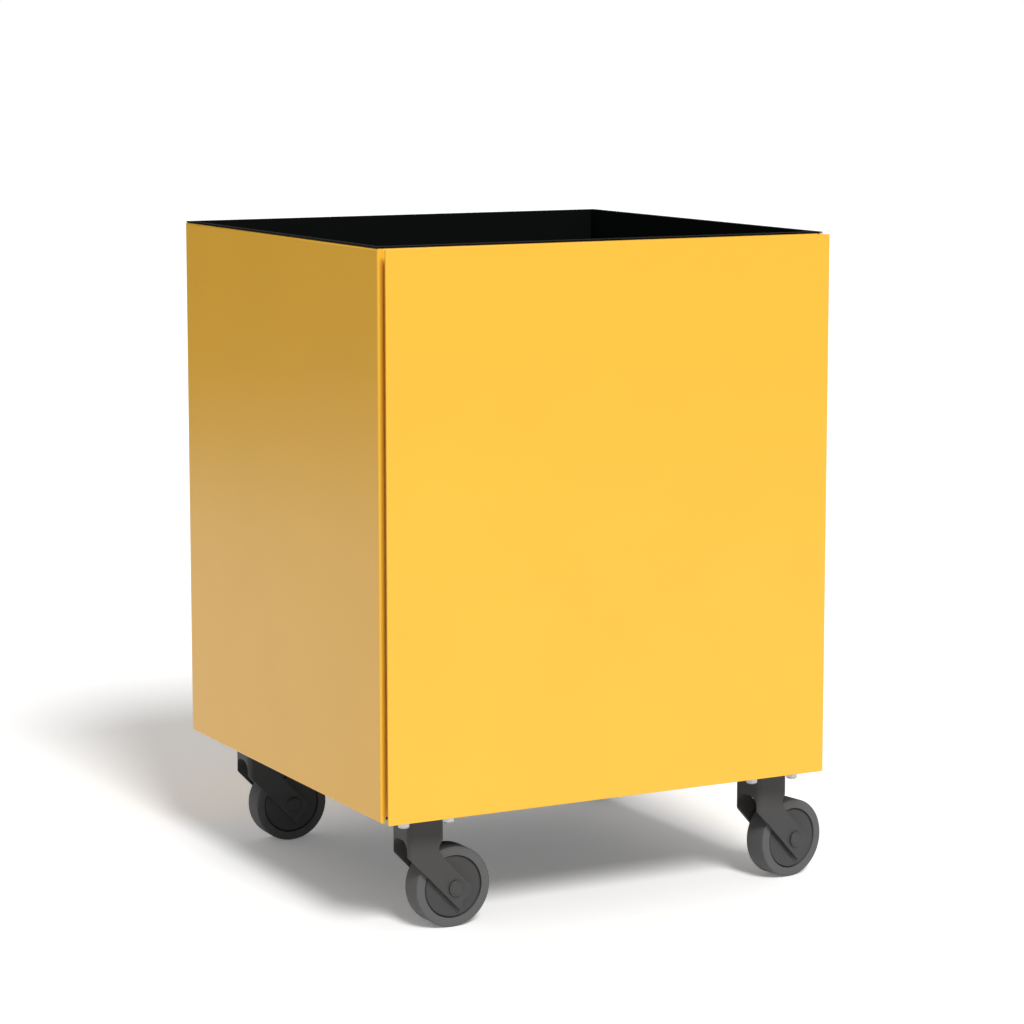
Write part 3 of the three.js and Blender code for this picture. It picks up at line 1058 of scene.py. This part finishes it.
@dataclass(frozen=True)
class WheelForm:
    """The wheel's two moulded parts and its axle, turned about +Z with the wheel's middle at z = 0."""

    radius: float = 37.5 * MM
    width: float = 24.0 * MM
    shoulder: float = 2.0 * MM
    tyre_inner: float = 29.0 * MM
    disc_radius: float = 28.6 * MM
    disc_width: float = 22.7 * MM
    rim_bevel: float = 1.3 * MM
    boss: float = 9.0 * MM
    boss_foot: float = 10.0 * MM
    bore: float = 4.4 * MM
    boss_half: float = 13.1 * MM
    axle: float = 4.0 * MM
    cap: float = 7.5 * MM
    cap_seat: float = 17.3 * MM
    cap_depth: float = 2.0 * MM
    lead: float = 0.7 * MM  # rounding of the tyre's inner edges
    disc_edge: float = 0.3 * MM
    boss_fillet: float = 0.4 * MM
    cap_edge: float = 0.7 * MM
    groove_inset: float = 1.5 * MM  # from the cap's side
    groove: float = 0.25 * MM  # depth, and half the width

    def tyre(self, shop: Workshop, rubber: Material) -> Mesh:
        """The tyre: flat tread, round shoulders and a small lead-in beside the disc."""
        half = self.width / 2
        corners = [
            (self.radius, -half, self.shoulder),
            (self.radius, half, self.shoulder),
            (self.tyre_inner, half, self.lead),
            (self.tyre_inner, -half, self.lead),
        ]
        return shop.turn(rounded(corners), rubber, segments=128)

    def disc(self, shop: Workshop, plastic: Material) -> Mesh:
        """The wheel centre: a disc with a bevelled rim and a low boss on each side."""
        half, bevel = self.disc_width / 2, self.rim_bevel
        side = [
            (self.disc_radius, half - bevel, self.disc_edge),
            (self.disc_radius - bevel, half, self.disc_edge),
            (self.boss_foot, half, self.boss_fillet),
            (self.boss, self.boss_half, self.disc_edge),
            (self.bore, self.boss_half, 0),
        ]
        other = [(radius, -height, ease) for radius, height, ease in reversed(side)]
        return shop.turn(rounded([*other, *side], steps=3), plastic, segments=112)

    def axle_pin(self, shop: Workshop, nylon: Material) -> Mesh:
        """The axle with its two round caps, each with a fine turned ring."""
        end, edge = self.cap_seat + self.cap_depth, self.cap_edge
        groove_from = self.cap - self.groove_inset
        half = [
            (self.axle, self.cap_seat),
            (self.cap, self.cap_seat),
            *arc((self.cap - edge, end - edge), edge, 0, math.pi / 2, 5),
            (groove_from, end),
            (groove_from - self.groove, end - self.groove),
            (groove_from - 2 * self.groove, end),
            (0, end),
        ]
        other = [(radius, -height) for radius, height in reversed(half)]
        return shop.turn([*other, *half], nylon, segments=64, closed=False)


class Castor:
    """One swivel castor: it stands where its solids stand and is turned as they are."""

    def __init__(self, corner: Corner) -> None:
        """Finds the castor's place and turn from its kingpin and its tyre."""
        self.corner = corner
        self.prefix = f"castor_{corner.value}"
        pin = middle_of(f"{self.prefix}_kingpin")
        wheel = middle_of(f"{self.prefix}_tyre")
        turn = Matrix.Rotation(math.atan2(wheel.y - pin.y, wheel.x - pin.x), 4, "Z")
        self.at_pin = Matrix.Translation((pin.x, pin.y, 0)) @ turn
        self.at_axle = Matrix.Translation(wheel) @ turn @ Matrix.Rotation(math.pi / 2, 4, "X")

    def build(self, parts: Mapping[str, Mesh], finishes: Finishes) -> None:
        """Shows the fork, the axle and the wheel in their places.

        Args:
            parts: The meshes of the fork, axle, disc and tyre in their own frames.
            finishes: The planter's materials.
        """
        fork_body, wheel_body = f"{self.corner.value}_fork", f"{self.corner.value}_wheel"
        plan = (
            ("fork", "fork", self.at_pin, finishes.nylon, fork_body, "nylon"),
            ("axle_pin", "axle", self.at_axle, finishes.nylon, fork_body, "nylon"),
            ("disc", "hub", self.at_axle, finishes.disc, wheel_body, "disc"),
            ("tyre", "tyre", self.at_axle, finishes.tread, wheel_body, "tread"),
        )
        for part, node, place, material, body, slot in plan:
            mesh = parts[part].copy()
            mesh.transform(place)
            name = f"{self.corner.value}_{part}"
            show(name, mesh, material, body, [f"{self.prefix}_{node}"])


# ------------------------------------------------------------
# Studio
# ------------------------------------------------------------


@dataclass(frozen=True)
class Studio:
    """A white floor and world, a dark screen in the gloss, one soft key, and the photograph's camera.

    The world and the floor are brighter where they are seen than where they light the planter.
    """

    ambient: float = 0.36  # the world's strength where it lights
    key_strength: float = 2.45
    key_from: Point3 = (-0.065, -0.743, 0.669)
    key_angle: float = 18.0  # across the key's disc
    floor_size: float = 60.0
    floor_bounce: float = 0.9  # the floor's white where it lights
    floor_seen: float = 1.14  # and where it is seen
    floor_glow: float = 0.14  # added where it is seen, so that the shadow stays light
    screen_distance: float = 3.2
    screen_height: float = 2.4
    screen_glow: float = 0.02
    screen_sides: int = 48
    camera_place: Point3 = (-1.4337, -2.6981, 0.8056)
    camera_yaw: float = -27.97
    camera_pitch: float = 7.852
    lens: float = 112.3
    shift: float = -0.039
    far_clip: float = 200.0

    def build(self) -> None:
        """Builds the world, the key, the floor, the screen and the camera."""
        self._world()
        self._key()
        self._floor()
        self._screen()
        self._camera()
        LOG.info("studio ready")

    @staticmethod
    def _seen(tree: Tree) -> Link:
        """1 for rays from the camera, a gloss or a clear body, and 0 for the rest."""
        rays = tree.tree.nodes.new("ShaderNodeLightPath").outputs
        camera, glossy, clear = (
            Link(tree, rays[name]) for name in ("Is Camera Ray", "Is Glossy Ray", "Is Transmission Ray")
        )
        return tree.node("ShaderNodeMath", {"operation": "MINIMUM"}, {0: camera + glossy + clear, 1: 1.0})

    def _world(self) -> None:
        """White where it is seen, and softer where it lights."""
        world = bpy.data.worlds.new("studio")
        world.use_nodes = True
        tree = Tree(world.node_tree)
        seen = self._seen(tree)
        background = tree.node(
            "ShaderNodeBackground",
            inputs={"Color": (1, 1, 1, 1), "Strength": seen * (1 - self.ambient) + self.ambient},
        )
        tree.node("ShaderNodeOutputWorld", inputs={"Surface": background})
        bpy.context.scene.world = world

    def _key(self) -> None:
        """A broad, soft lamp in front of the planter and above it."""
        data = bpy.data.lights.new("key", "SUN")
        data.energy = self.key_strength
        data.angle = math.radians(self.key_angle)
        placed("key", data).rotation_euler = Vector(self.key_from).to_track_quat("Z", "Y").to_euler()

    def _floor(self) -> None:
        """A white floor that keeps the planter's shadow."""
        half = self.floor_size / 2
        mesh = bpy.data.meshes.new("floor")
        square = [(-half, -half, 0), (half, -half, 0), (half, half, 0), (-half, half, 0)]
        mesh.from_pydata(square, [], [(0, 1, 2, 3)])
        material, tree = new_material("studio_floor")
        seen = self._seen(tree)
        white = seen * (self.floor_seen - self.floor_bounce) + self.floor_bounce
        matte = tree.node("ShaderNodeBsdfDiffuse", inputs={"Color": white})
        glow = tree.node("ShaderNodeEmission", inputs={"Strength": seen * self.floor_glow})
        both = tree.node("ShaderNodeAddShader", inputs={0: matte, 1: glow})
        tree.node("ShaderNodeOutputMaterial", inputs={"Surface": both})
        mesh.materials.append(material)
        floor = placed("floor", mesh)

    def _screen(self) -> None:
        """A dark screen round the studio, seen only by rays from a gloss or a clear body."""
        form = bmesh.new()
        bmesh.ops.create_cone(
            form,
            segments=self.screen_sides,
            radius1=self.screen_distance,
            radius2=self.screen_distance,
            depth=self.screen_height,
            matrix=Matrix.Translation((0, 0, self.screen_height / 2)),
        )
        mesh = from_bmesh(form)
        material, tree = new_material("studio_screen")
        glow = tree.node("ShaderNodeEmission", inputs={"Strength": self.screen_glow})
        tree.node("ShaderNodeOutputMaterial", inputs={"Surface": glow})
        mesh.materials.append(material)
        screen = placed("screen", mesh)
        screen.visible_camera = False
        screen.visible_diffuse = False
        screen.visible_shadow = False

    def _camera(self) -> None:
        """The camera, at the place and tilt that the photograph was taken from."""
        data = bpy.data.cameras.new("camera")
        data.lens = self.lens
        data.shift_y = self.shift
        data.clip_end = self.far_clip
        camera = placed("camera", data)
        camera.location = self.camera_place
        camera.rotation_euler = (math.radians(90 - self.camera_pitch), 0, math.radians(self.camera_yaw))
        bpy.context.scene.camera = camera


# ------------------------------------------------------------
# Assembly
# ------------------------------------------------------------


def dress_kept_nodes(nodes: Mapping[str, Object], finishes: Finishes) -> None:
    """Gives the solids that stay in view their finishes."""
    kept = {"base_pan": finishes.black}
    for corner in Corner:
        kept[f"castor_{corner.value}_plate"] = finishes.zinc
        kept[f"castor_{corner.value}_kingpin"] = finishes.zinc
    for name, material in kept.items():
        mesh = nodes[name].data
        mesh.materials.clear()
        mesh.materials.append(material)
        LOG.info("%s: kept as modelled", name)


def corners(box: tuple[Vector, Vector]) -> list[list[float]]:
    """A box's two corners as plain numbers."""
    return [list(corner) for corner in box]


def main() -> None:
    """Builds the planter and its studio."""
    logging.basicConfig(level=logging.INFO, format="%(name)s: %(message)s")
    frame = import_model()
    bpy.context.scene.view_settings.view_transform = "Standard"
    finishes = Finishes.make()
    shop = Workshop()

    for node, facing in (
        ("left_side_panel", Facing.LEFT),
        ("right_side_panel", Facing.RIGHT),
        ("back_panel", Facing.BACK),
        ("inner_front_panel", Facing.FRONT),
    ):
        FoldedPanel(node, facing).build(finishes.coat)
    FrontPlate().build(finishes.coat)
    Liner().build(finishes.black)
    FrontFixings().build(shop, finishes.zinc)
    CastorBolts().build(shop, finishes.zinc)
    BallRaces().build(shop, finishes.zinc)

    wheel = WheelForm()
    parts = {
        "fork": ForkForm().mesh(),
        "axle_pin": wheel.axle_pin(shop, finishes.nylon),
        "disc": wheel.disc(shop, finishes.disc),
        "tyre": wheel.tyre(shop, finishes.tread),
    }
    for corner in Corner:
        Castor(corner).build(parts, finishes)
    dress_kept_nodes(frame["nodes"], finishes)
    Studio().build()


if __name__ == "__main__":
    main()
